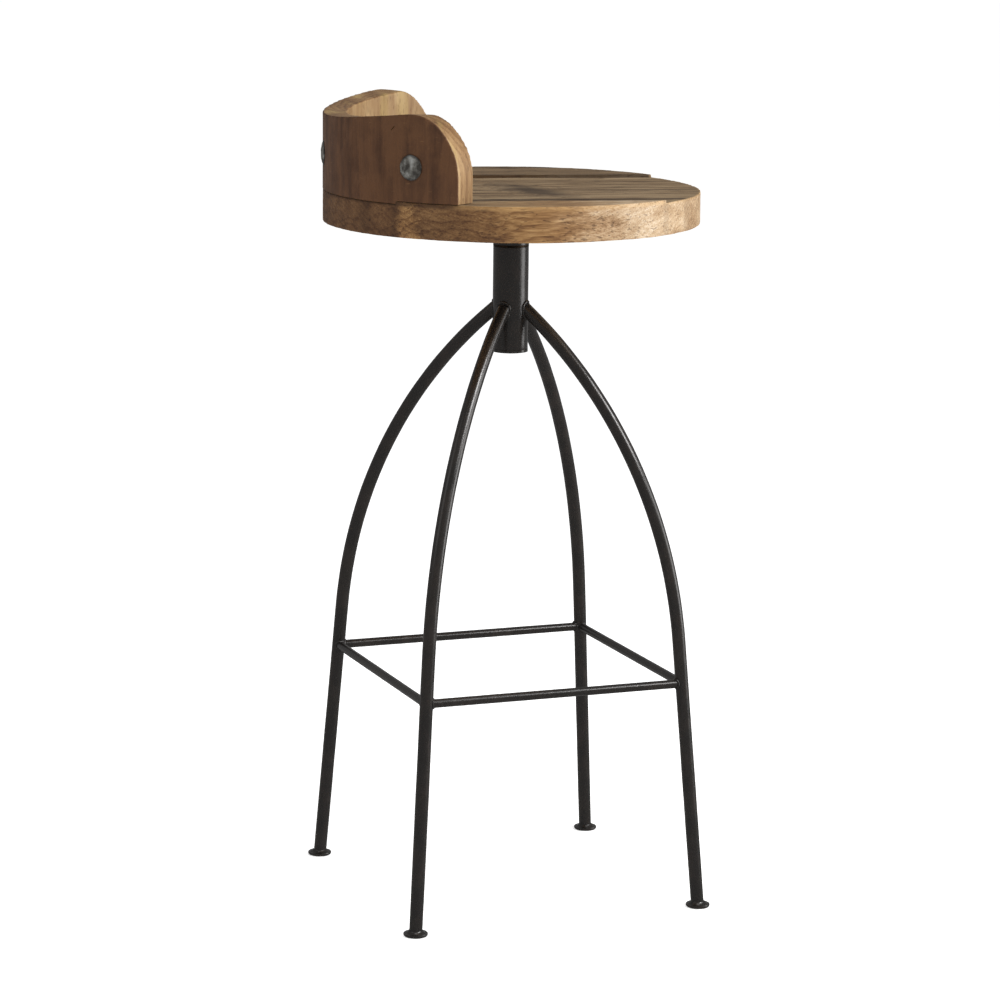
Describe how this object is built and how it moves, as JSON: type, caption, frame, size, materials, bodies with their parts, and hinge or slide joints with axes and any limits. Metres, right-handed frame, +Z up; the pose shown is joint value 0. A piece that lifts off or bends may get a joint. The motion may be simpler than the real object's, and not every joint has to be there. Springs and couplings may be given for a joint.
{
  "type": "bar stool",
  "caption": "Bar stool with a round swivelling plank seat, a low curved wooden back, bent iron legs and a square of footrest bars.",
  "frame": {"origin": "on the floor, on the swivel axis, midway between the four feet", "axes": "+Z up along the swivel axis; +Y towards the middle of the curved back; the sitter faces -Y"},
  "size_m": [0.4094, 0.4094, 0.851],
  "materials": {
    "dark_iron": "blackened, waxed iron, satin",
    "bronze": "oiled bearing bronze",
    "steel": "plain steel",
    "hammered_iron": "hammered, grey",
    "edge_wood": "reclaimed softwood, waxed",
    "top_wood": "weathered grey-brown, worn",
    "back_wood": "dark brown stain, worn edges",
    "dowel_wood": "raw beech"
  },
  "bodies": {
    "frame": {"post_tube": "dark_iron", "post_cap": "dark_iron", "upper_bush": "bronze", "lower_bush": "bronze", "leg_1": "dark_iron", "leg_2": "dark_iron", "leg_3": "dark_iron", "leg_4": "dark_iron", "footrest_bar_1": "dark_iron", "footrest_bar_2": "dark_iron", "footrest_bar_3": "dark_iron", "footrest_bar_4": "dark_iron", "foot_pad_1": "dark_iron", "foot_pad_2": "dark_iron", "foot_pad_3": "dark_iron", "foot_pad_4": "dark_iron"},
    "seat": {"spindle": "steel", "swivel_collar": "dark_iron", "mounting_plate": "dark_iron", "plate_screws": "steel", "keeper_washer": "steel", "spindle_nut": "steel", "left_plank": "edge_wood", "middle_plank_left": "top_wood", "middle_plank_right": "top_wood", "right_plank": "edge_wood", "plank_dowels": "dowel_wood", "back_middle": "back_wood", "back_left": "back_wood", "back_right": "back_wood", "back_screws": "steel", "back_bolts": "hammered_iron", "back_washers": "steel", "back_nuts": "steel"}
  },
  "joints": [
    {"name": "seat_swivel", "type": "hinge", "parent": "frame", "child": "seat", "pos_m": [0, 0, 0.7], "axis": [0, 0, 1], "continuous": true}
  ]
}
